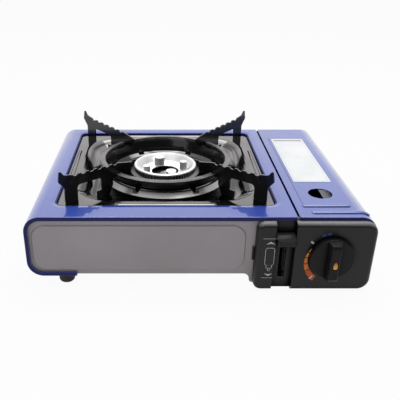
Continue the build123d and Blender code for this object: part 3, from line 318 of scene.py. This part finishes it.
def from_rim(tree):
    """Place measured from the middle of the pan's rim, which lies on the burner's axis."""
    return vector_node(tree, "SUBTRACT", place_in_object(tree), PAN_AXIS)["Vector"]


def flat_place(tree):
    """Place seen from above, measured from the burner's axis."""
    return vector_node(tree, "MULTIPLY", from_rim(tree), (1, 1, 0))["Vector"]


def axis_radius(tree):
    return vector_node(tree, "LENGTH", flat_place(tree))["Value"]


def square_reach(tree, straight):
    """How far a place lies past a square about the pan's axis, straight being half its side."""
    folded = vector_node(tree, "ABSOLUTE", flat_place(tree))["Vector"]
    past = vector_node(tree, "SUBTRACT", folded, (straight, straight, 0))["Vector"]
    corner = vector_node(tree, "MAXIMUM", past, (0, 0, 0))["Vector"]
    return vector_node(tree, "LENGTH", corner)["Value"]


def beyond_well(tree):
    """Zero at the edge of the well that holds the pan, one at the end of its roll and further out; it
    bounds the painted shade line.
    """
    reach = square_reach(tree, WELL_HALF - WELL_CORNER)
    return remap(tree, reach, WELL_CORNER + 0.7 * WELL_ROLL, WELL_CORNER + WELL_ROLL)


def collar_front(tree):
    """One on the front slope of the pan's collar, where a highlight is painted, zero elsewhere."""
    near = remap(tree, axis_radius(tree), COLLAR_REACH, COLLAR_REACH - COLLAR_FADE)
    front = remap(tree, part_along(tree, flat_place(tree), "Y"), *COLLAR_FRONT)
    leaning = opposite(tree, not_leaning_forward(tree, -0.5, -0.2))
    return product(tree, near, front, leaning)


# Materials


def new_material(name, **values):
    """A material with one Principled shader; values name its sockets with _ for a blank."""
    material = bpy.data.materials.new(name)
    material.use_nodes = True
    tree = material.node_tree
    shader = tree.nodes["Principled BSDF"]
    for key, value in values.items():
        shader.inputs[key.replace("_", " ")].default_value = value
    return material, tree, shader


def feed(tree, shader, colour, roughness=None, height=None, strength=0.0, distance=0.0):
    """Link colour, roughness and the height of a bump to the shader."""
    tree.links.new(colour, shader.inputs["Base Color"])
    if roughness is not None:
        tree.links.new(roughness, shader.inputs["Roughness"])
    if height is not None:
        bump = make_node(tree, "ShaderNodeBump",
                         {"Height": height, "Strength": strength, "Distance": distance})
        tree.links.new(bump.outputs["Normal"], shader.inputs["Normal"])


def paint(name, colour, worn_and_lit_edge, roughness, coat, peel, edge_wear_and_highlight=0.5, **values):
    """Sprayed paint: slight patches, orange peel under a clear coat, and pale edges that are partly wear
    and partly a painted highlight.
    """
    material, tree, shader = new_material(name, Coat_Weight=coat, **values)
    base = mottled(tree, colour, 14, 3, 0.93, 1.06)
    scuffs = remap(tree, noise(tree, 160, 6), 0.45, 0.65)
    # Pale edges: partly wear, partly a painted highlight
    rubbed = product(tree, edge_mask(tree, 0.5 * MM), scuffs, edge_wear_and_highlight)
    base = mix_colour(tree, rubbed, base, opaque(worn_and_lit_edge))
    rough = grain(tree, 45, 5, roughness * 0.85, roughness * 1.2)
    feed(tree, shader, base, rough, noise(tree, 420, 2), peel, 0.2 * MM)
    return material


def paint_shade_on_folds(material, coat):
    """Paint shade in dark navy on folds to the front, round the well and in gaps, and take the coat and
    sheen down there.
    """
    tree = material.node_tree
    shader = tree.nodes["Principled BSDF"]
    # Painted shade: zero in gaps, round the well and on faces leaning to the front
    out_of_painted_shade = product(tree, open_place(tree, GAP_REACH, 0.35, 0.75), beyond_well(tree),
                   not_leaning_forward(tree, -0.75, -0.42))
    colour = shader.inputs["Base Color"].links[0].from_socket
    feed(tree, shader, mix_colour(tree, out_of_painted_shade, opaque(SHADE_BLUE), colour))
    # The coat and sheen are taken down where the shade is painted
    tree.links.new(remap(tree, out_of_painted_shade, 0, 1, 0.0, coat), shader.inputs["Coat Weight"])
    tree.links.new(remap(tree, out_of_painted_shade, 0, 1, 0.2, 0.5), shader.inputs["Specular IOR Level"])


def enamel(name, colour, edge):
    """Black fired enamel, dull grey where it faces up: partly enamel worn thin where things are put down on
    it, partly a painted highlight of the light from above.
    """
    material, tree, shader = new_material(
        name, Coat_Weight=0.35, Coat_Roughness=0.08, Specular_IOR_Level=0.3)
    base = mottled(tree, colour, 14, 3, 0.9, 1.1)
    # Grey on faces that look up: partly wear, partly a painted highlight
    thin = product(tree, up_facing(tree, 0.45, 0.85), remap(tree, noise(tree, 150, 5), 0.3, 0.6, 0.7, 1.0))
    base = mix_colour(tree, thin, base, opaque(edge))
    feed(tree, shader, base, grain(tree, 45, 5, 0.19, 0.26), noise(tree, 420, 2), 0.10, 0.2 * MM)
    return material


def plastic(name, colour, roughness, specular, top_sheen):
    """Moulded plastic with a fine eroded grain, a painted highlight in grey where it looks up, and painted
    shade, dark and with less gloss, in its recesses.
    """
    material, tree, shader = new_material(name)
    base = mottled(tree, colour, 30, 4, 0.9, 1.12)
    rubbed = product(tree, edge_mask(tree, 0.4 * MM), 0.35)
    base = mix_colour(tree, rubbed, base, scaled(colour, 2.2))
    # Painted shade: near black in recesses
    clear = open_place(tree, RECESS_REACH, 0.45, 0.80)
    base = mix_colour(tree, clear, scaled(colour, 0.10), base)
    # Painted highlight: lighter grey on faces that look up
    sheen_share = product(tree, up_facing(tree, 0.35, 0.9), grain(tree, 300, 4, 0.8, 1.0))
    base = mix_colour(tree, sheen_share, base, opaque(top_sheen))
    # Painted shade: less gloss in recesses
    gloss = remap(tree, clear, 0, 1, specular * 0.15, specular)
    tree.links.new(gloss, shader.inputs["Specular IOR Level"])
    rough = grain(tree, 220, 4, roughness * 0.88, roughness * 1.12)
    feed(tree, shader, base, rough, noise(tree, 2600, 2), 0.16, 0.1 * MM)
    return material


def drawn_pan(name, colour, roughness):
    """Bright sheet drawn into a dish: below the rim it is wavy round the burner, with dark streaks painted
    in as reflections.
    """
    material, tree, shader = new_material(name, Metallic=1.0)
    smudge = remap(tree, noise(tree, 26, 6), 0.35, 0.7)
    base = mix_colour(tree, smudge, opaque(colour), scaled(colour, 0.8))
    collar = collar_front(tree)
    # Painted highlight: the collar's front slope lighter
    base = mix_colour(tree, collar, base, scaled(colour, COLLAR_HIGHLIGHT))
    rough = math_node(tree, "ADD", grain(tree, 60, 5, roughness * 0.6, roughness * 1.4),
                      remap(tree, collar, 0, 1, 0.0, COLLAR_DULLER))
    place = wavy_place(tree)
    waves = make_node(tree, "ShaderNodeTexNoise", {"Vector": place, "Scale": 1.0, "Detail": 1.0})
    streaks = make_node(tree, "ShaderNodeTexNoise", {"Vector": place, "Scale": 1.4, "Detail": 2.0})
    sunk = remap(tree, part_along(tree, from_rim(tree), "Z"), WAVES_BEGIN, WAVES_FULL)
    drawn = product(tree, sunk, opposite(tree, collar))
    # Painted reflection: dark streaks on the sunk dish
    dark = product(tree, remap(tree, streaks.outputs["Fac"], 0.40, 0.56), drawn)
    base = mix_colour(tree, dark, base, scaled(colour, 0.22))
    feed(tree, shader, base, rough, product(tree, waves.outputs["Fac"], drawn), 1.0, PAN_WAVE)
    return material


def wavy_place(tree):
    """Place in the dish that changes fast outward and slowly round it, so that noise, for the waves and the
    painted dark reflections, runs in streaks.
    """
    spot = from_rim(tree)
    made = make_node(tree, "ShaderNodeCombineXYZ", {
        "X": product(tree, square_reach(tree, DISH_STRAIGHT), PAN_WAVES_OUT),
        "Y": product(tree, part_along(tree, spot, "X"), PAN_WAVES_ROUND),
        "Z": product(tree, part_along(tree, spot, "Y"), PAN_WAVES_ROUND)})
    return made.outputs[0]


def burner_cap_metal(name, colour, posts):
    """Sand cast aluminium, pale and dry, with painted shade in a darker grey on the upright sides of the
    posts.
    """
    material, tree, shader = new_material(name, Metallic=1.0)
    base = mottled(tree, colour, 55, 6, 0.94, 1.0)
    within = math_node(tree, "LESS_THAN", axis_radius(tree), POSTS_REACH)
    # Painted shade on upright faces within reach of the posts
    post_side_shade = product(tree, opposite(tree, up_facing(tree, 0.3, 0.8)), within)
    base = mix_colour(tree, post_side_shade, base, opaque(posts))
    feed(tree, shader, base, grain(tree, 700, 5, 0.42, 0.60), noise(tree, 900, 4), 0.12, 0.1 * MM)
    return material


def plain_metal(name, colour, roughness, fineness=320, bump=0.08):
    """Zinc, brass or bare steel: mottled colour, grain and rubbed edges."""
    material, tree, shader = new_material(name, Metallic=1.0)
    base = mottled(tree, colour, 55, 6, 0.82, 1.08)
    rubbed = product(tree, edge_mask(tree, 0.3 * MM), 0.5)
    base = mix_colour(tree, rubbed, base, scaled(colour, 1.3))
    rough = grain(tree, fineness, 6, roughness * 0.75, roughness * 1.25)
    feed(tree, shader, base, rough, noise(tree, fineness, 4), bump, 0.1 * MM)
    return material


def metal_with_painted_shade(name, colour, roughness):
    """Cast metal near the flame: grained, with painted shade, black in its slots and corners."""
    material = plain_metal(name, colour, roughness, 700, 0.14)
    tree = material.node_tree
    shader = tree.nodes["Principled BSDF"]
    bare = shader.inputs["Base Color"].links[0].from_socket
    # Painted shade: black in slots and corners
    out_of_gap_shade = open_place(tree, GAP_REACH, 0.25, 0.7)
    feed(tree, shader, mix_colour(tree, out_of_gap_shade, scaled(colour, 0.05), bare))
    return material


def soft_matte(name, colour, roughness, fineness):
    """Rubber, fired clay or paper: no metal, a dry grained surface."""
    material, tree, shader = new_material(name)
    base = mottled(tree, colour, 40, 5, 0.93, 1.05)
    rough = grain(tree, fineness, 4, roughness * 0.9, roughness * 1.08)
    feed(tree, shader, base, rough, noise(tree, fineness, 3), 0.1, 0.1 * MM)
    return material


def ink(name, colour):
    """Screen printed ink with the slight mottle of a printed field."""
    material, tree, shader = new_material(name, Specular_IOR_Level=0.4)
    feed(tree, shader, mottled(tree, colour, 900, 4, 0.88, 1.04), grain(tree, 500, 3, 0.42, 0.6))
    return material


def flame_ink(name, low, high):
    """Red above and yellow below, over the height of the mark."""
    material, tree, shader = new_material(name, Specular_IOR_Level=0.4)
    height = remap(tree, part_along(tree, place_in_object(tree), "Z"), low, high)
    ragged = math_node(tree, "ADD", height, grain(tree, 700, 3, -0.08, 0.08))
    base = mix_colour(tree, ragged, opaque(FLAME_YELLOW), opaque(FLAME_RED))
    feed(tree, shader, base, grain(tree, 500, 3, 0.4, 0.55))
    return material


materials = {
    "blue_paint": paint("blue paint", BLUE, (0.22, 0.25, 0.52), 0.30, BLUE_COAT, 0.05, 0.4,
                        Coat_IOR=1.85, Coat_Roughness=0.05),
    "grey_paint": paint("grey paint", (0.345, 0.318, 0.336), (0.6, 0.59, 0.59), 0.42, 0.2, 0.06),
    # The last colour is the grey of the enamel's worn and painted-highlight tops
    "black_enamel": enamel("black enamel", (0.005, 0.005, 0.006), (0.20, 0.20, 0.20)),
    # The last colour of each plastic is the grey of its painted top highlight
    "black_plastic": plastic("black plastic", (0.0125, 0.0112, 0.0118), 0.32, 0.27, TOP_SHEEN_GREY),
    "tab_plastic": plastic("lever plastic", (0.0095, 0.0088, 0.0092), 0.32, 0.22, (0.040, 0.039, 0.040)),
    "knob_plastic": plastic("knob plastic", (0.0095, 0.0088, 0.0092), 0.40, 0.15, (0.012, 0.0115, 0.012)),
    "pan_sheet": drawn_pan("drawn bright sheet", (0.26, 0.25, 0.25), 0.09),
    # The burner casting's dark colour is painted shade for its place under the ring
    "shaded_aluminium": metal_with_painted_shade("burner casting", (0.22, 0.217, 0.215), 0.33),
    "bright_aluminium": burner_cap_metal("burner cap", (0.97, 0.97, 0.97), (0.26, 0.26, 0.26)),
    # Steel set near black so that the lever slide shows as dark as the shade in the lever's channel; the
    # pusher bar shares it
    "dark_steel": plain_metal("near_black steel", (0.03, 0.03, 0.032), 0.45),
    "zinc_steel": plain_metal("zinc plated steel", (0.52, 0.52, 0.51), 0.38),
    "cast_aluminium": plain_metal("cast aluminium", (0.80, 0.80, 0.79), 0.45, 700, 0.14),
    "brass": plain_metal("brass", (0.68, 0.50, 0.22), 0.32),
    "rubber": soft_matte("rubber", (0.016, 0.016, 0.016), 0.7, 900),
    "ceramic": soft_matte("fired clay", (0.80, 0.78, 0.73), 0.35, 500),
    "label_white": soft_matte("label film", (0.93, 0.95, 0.98), 0.35, 700),
}
# Painted shade on the blue paint's front folds, well edge and gaps
paint_shade_on_folds(materials["blue_paint"], BLUE_COAT)


# Parts of the frame


def soften(obj, width):
    """Join the split edges of a node and round its sharp edges by width."""
    weld = obj.modifiers.new("weld", "WELD")
    weld.merge_threshold = WELD
    bevel = obj.modifiers.new("soft edges", "BEVEL")
    bevel.width = width
    bevel.segments = 2
    bevel.limit_method = "ANGLE"
    bevel.angle_limit = math.radians(SOFT_ANGLE)
    bevel.harden_normals = True


for name, obj in nodes.items():
    obj.data.materials.clear()
    obj.data.materials.append(materials[OWN_FINISH.get(name, slots[name])])
    if name in SOFT_EDGES:
        soften(obj, SOFT_EDGES[name])


# Meshes of the printed marks


def on_panel(u, v, rise):
    """A point of the control panel's face, rise in front of it."""
    return Vector((u, PANEL_Y - rise, v))


def on_grip(u, v, rise):
    """A point of the knob's grip, rise in front of it."""
    return Vector((u, GRIP_Y - rise, v))


def on_label(u, v, rise):
    """A point of the label, rise above it."""
    return Vector((u, v, label_high.z + rise))


def add_loop(bm, points, place, rise):
    return [bm.verts.new(place(u, v, rise)) for u, v in points]


def bridge(bm, first, second):
    """Faces between two closed loops of equally many points."""
    count = len(first)
    for i in range(count):
        j = (i + 1) % count
        bm.faces.new((first[i], first[j], second[j], second[i]))


def finish_mesh(name, bm, material, body):
    bmesh.ops.recalc_face_normals(bm, faces=bm.faces)
    mesh = bpy.data.meshes.new(name)
    bm.to_mesh(mesh)
    bm.free()
    mesh.materials.append(material)
    obj = bpy.data.objects.new(name, mesh)
    bpy.context.scene.collection.objects.link(obj)
    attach(obj, body)


def printed(name, outlines, place, material, body, rise=PRINT_RISE):
    """A thin print: each outline is a closed list of points in the plane of place."""
    bm = bmesh.new()
    for points in outlines:
        face = add_loop(bm, points, place, rise)
        back = add_loop(bm, points, place, -PRINT_RISE)
        bm.faces.new(face)
        bm.faces.new(back)
        bridge(bm, face, back)
    finish_mesh(name, bm, material, body)


def printed_line(name, loops, place, material, body):
    """A thin print of closed lines: each loop is a pair of outer and inner points."""
    bm = bmesh.new()
    for outer, inner in loops:
        rings = [add_loop(bm, outer, place, PRINT_RISE), add_loop(bm, inner, place, PRINT_RISE),
                 add_loop(bm, inner, place, -PRINT_RISE), add_loop(bm, outer, place, -PRINT_RISE)]
        for i in range(4):
            bridge(bm, rings[i], rings[(i + 1) % 4])
    finish_mesh(name, bm, material, body)


# Outlines of the printed marks


def polar(angle, radius):
    turn = math.radians(angle)
    return (KNOB_X + radius * math.cos(turn), KNOB_Z + radius * math.sin(turn))


def steady(radius):
    """The same radius at every angle."""
    return lambda angle: radius


def widening(ends):
    """A radius that runs evenly from one end of the scale to the other."""
    return lambda angle: ends[0] + (ends[1] - ends[0]) * (angle - SCALE_START) / (SCALE_END - SCALE_START)


def arc_band(start, end, inner, outer, count=10):
    """Outline of a band round the knob; inner and outer give the radius at an angle."""
    angles = [start + (end - start) * i / count for i in range(count + 1)]
    there = [polar(angle, outer(angle)) for angle in angles]
    back = [polar(angle, inner(angle)) for angle in reversed(angles)]
    return there + back


def even_bands(bands, count):
    return [arc_band(start, end, steady(inner), steady(outer), count) for start, end, inner, outer in bands]


def rectangle(u0, u1, v0, v1):
    return [(u0, v0), (u1, v0), (u1, v1), (u0, v1)]


def rounded(u0, u1, v0, v1, radius, count=6):
    """A rectangle with rounded corners."""
    points = []
    corners = ((u1 - radius, v1 - radius, 0), (u0 + radius, v1 - radius, 90),
               (u0 + radius, v0 + radius, 180), (u1 - radius, v0 + radius, 270))
    for u, v, start in corners:
        for i in range(count + 1):
            turn = math.radians(start + 90 * i / count)
            points.append((u + radius * math.cos(turn), v + radius * math.sin(turn)))
    return points


def outline_pair(u0, u1, v0, v1, radius, width):
    """Outer and inner points of a rounded frame line."""
    corner = max(radius - width, LEAST_CORNER)
    inner = rounded(u0 + width, u1 - width, v0 + width, v1 - width, corner)
    return rounded(u0, u1, v0, v1, radius), inner


def arrow_head(x, foot, way):
    """An arrow head with a hollow foot, up for a way of 1 and down for -1."""
    return [(x - ARROW_HALF, foot), (x, foot + way * ARROW_HOLLOW),
            (x + ARROW_HALF, foot), (x, foot + way * ARROW_RISE)]


# Printed marks


def heat_scale():
    """Coloured steps round the knob."""
    for i, ((start, end), colour) in enumerate(zip(SCALE_STEPS, SCALE_COLOURS)):
        outline = arc_band(start, end, widening(SCALE_INNER), widening(SCALE_OUTER))
        step_ink = ink(f"scale ink {i + 1}", colour)
        printed(f"scale_{i + 1}", [outline], on_panel, step_ink, "stove_body")


def scale_ticks():
    """White ticks, raised clear of the scale that one of them crosses, and blue dashes above the knob."""
    white = ink("white ink", (0.62, 0.62, 0.60))
    ticks = even_bands(TICKS, 2)
    printed("scale_ticks", ticks, on_panel, white, "stove_body", 2 * PRINT_RISE)
    blue = ink("blue ink", (0.03, 0.07, 0.30))
    dashes = even_bands(DASHES, 3)
    printed("low_flame_dashes", dashes, on_panel, blue, "stove_body")


def lever_marks():
    """Arrows, lines and the outline of a cartridge beside the lever."""
    x = panel_low.x + MARKS_FROM_LEFT
    white = ink("grey white ink", (0.55, 0.55, 0.53))
    marks = [arrow_head(x, UP_ARROW, 1), arrow_head(x, DOWN_ARROW, -1)]
    for left, right, low in MARK_LINES:
        marks.append(rectangle(x + left, x + right, low, low + MARK_LINE))
    printed("lever_arrows", marks, on_panel, white, "stove_body")
    loops = [outline_pair(x - half, x + half, low, high, corner, OUTLINE_WIDTH)
             for half, low, high, corner in CARTRIDGE_STEPS]
    printed_line("cartridge_outline", loops, on_panel, white, "stove_body")


def flame_mark():
    """A small flame on the grip."""
    x = KNOB_X + FLAME_ASIDE
    low = KNOB_Z - FLAME_BELOW
    high = KNOB_Z + FLAME_ABOVE
    right = []
    for i in range(FLAME_POINTS + 1):
        share = i / FLAME_POINTS
        swell = math.sin(math.pi * (FLAME_FOOT + (1 - FLAME_FOOT) * share))
        wide = FLAME_HALF * swell ** FLAME_BULGE
        right.append((x + max(wide, FLAME_TIP), low + (high - low) * share))
    left = [(2 * x - u, v) for u, v in reversed(right)]
    printed("flame_mark", [right + left], on_grip, flame_ink("flame ink", low, high), "knob")


def label_print():
    """A frame line and one grey bar on an otherwise bare label."""
    low = label_low
    high = label_high
    pale = ink("pale frame ink", (0.66, 0.76, 0.88))
    loop = outline_pair(low.x + LABEL_MARGIN, high.x - LABEL_MARGIN,
                        low.y + LABEL_MARGIN, high.y - LABEL_MARGIN, LABEL_CORNER, LABEL_LINE)
    printed_line("label_frame", [loop], on_label, pale, "lid")
    grey = ink("grey ink", (0.32, 0.31, 0.30))
    front, rear = BAR_FROM_REAR
    bar = rectangle(low.x + BAR_MARGIN, high.x - BAR_MARGIN, high.y - front, high.y - rear)
    printed("label_bar", [bar], on_label, grey, "lid")


heat_scale()
scale_ticks()
lever_marks()
flame_mark()
label_print()


# Floor, light and camera


def seen_ray(tree):
    """One for what the camera sees, straight or in a mirror or glass."""
    path = make_node(tree, "ShaderNodeLightPath")
    seen = math_node(tree, "MAXIMUM", path.outputs["Is Camera Ray"], path.outputs["Is Glossy Ray"])
    return math_node(tree, "MAXIMUM", seen, path.outputs["Is Transmission Ray"])


def add_floor():
    """A floor that shows white and keeps the shadow."""
    bpy.ops.mesh.primitive_plane_add(size=FLOOR_SIZE, location=(0, 0, -FLOOR_DROP))
    floor = bpy.context.object
    floor.name = "floor"
    material = bpy.data.materials.new("floor")
    material.use_nodes = True
    tree = material.node_tree
    tree.nodes.clear()
    diffuse = make_node(tree, "ShaderNodeBsdfDiffuse", {"Color": opaque(FLOOR_GREY)})
    glow = make_node(tree, "ShaderNodeEmission", {"Color": opaque(WHITE), "Strength": 1.0})
    share = product(tree, seen_ray(tree), FLOOR_GLOW)
    mix = make_node(tree, "ShaderNodeMixShader", {0: share, 1: diffuse.outputs[0], 2: glow.outputs[0]})
    make_node(tree, "ShaderNodeOutputMaterial", {"Surface": mix.outputs[0]})
    floor.data.materials.append(material)


def add_world():
    """A studio with a white sweep behind, a pale ceiling and a dim room in front."""
    world = bpy.data.worlds.new("studio")
    bpy.context.scene.world = world
    world.use_nodes = True
    tree = world.node_tree
    tree.nodes.clear()
    way = make_node(tree, "ShaderNodeTexCoord").outputs["Generated"]
    back = part_along(tree, way, "Y")
    sweep = remap(tree, back, *SWEEP_SPAN, DIM_ROOM, 1.0)
    ceiling = remap(tree, part_along(tree, way, "Z"), *CEILING_SPAN, 0.0, CEILING)
    shown = math_node(tree, "MAXIMUM", sweep, ceiling)
    lighting = remap(tree, back, *LIGHT_SPAN, FRONT_LIGHT, DAYLIGHT)
    strength = make_node(tree, "ShaderNodeMix", {0: seen_ray(tree), 2: lighting, 3: shown}).outputs[0]
    sky = make_node(tree, "ShaderNodeBackground", {"Color": opaque(WHITE), "Strength": strength})
    make_node(tree, "ShaderNodeOutputWorld", {"Surface": sky.outputs[0]})


def add_lamp(name, place, size, power):
    data = bpy.data.lights.new(name, "AREA")
    data.shape = "RECTANGLE"
    data.size, data.size_y = size
    data.energy = power
    lamp = bpy.data.objects.new(name, data)
    lamp.location = place
    lamp.rotation_euler = (Vector(LAMP_AIM) - Vector(place)).to_track_quat("-Z", "Y").to_euler()
    bpy.context.scene.collection.objects.link(lamp)


def add_camera():
    data = bpy.data.cameras.new("camera")
    data.lens = CAMERA_LENS
    data.sensor_width = CAMERA_SENSOR
    data.shift_x, data.shift_y = CAMERA_SHIFT
    camera = bpy.data.objects.new("camera", data)
    camera.location = CAMERA_PLACE
    camera.rotation_euler = (math.radians(90 - CAMERA_PITCH), 0, 0)
    bpy.context.scene.collection.objects.link(camera)
    bpy.context.scene.camera = camera


add_floor()
add_world()
add_lamp("overhead", OVERHEAD_PLACE, OVERHEAD_SIZE, OVERHEAD)
add_lamp("front_fill", FRONT_FILL_PLACE, FRONT_FILL_SIZE, FRONT_FILL)
add_camera()
bpy.context.scene.view_settings.view_transform = "Standard"
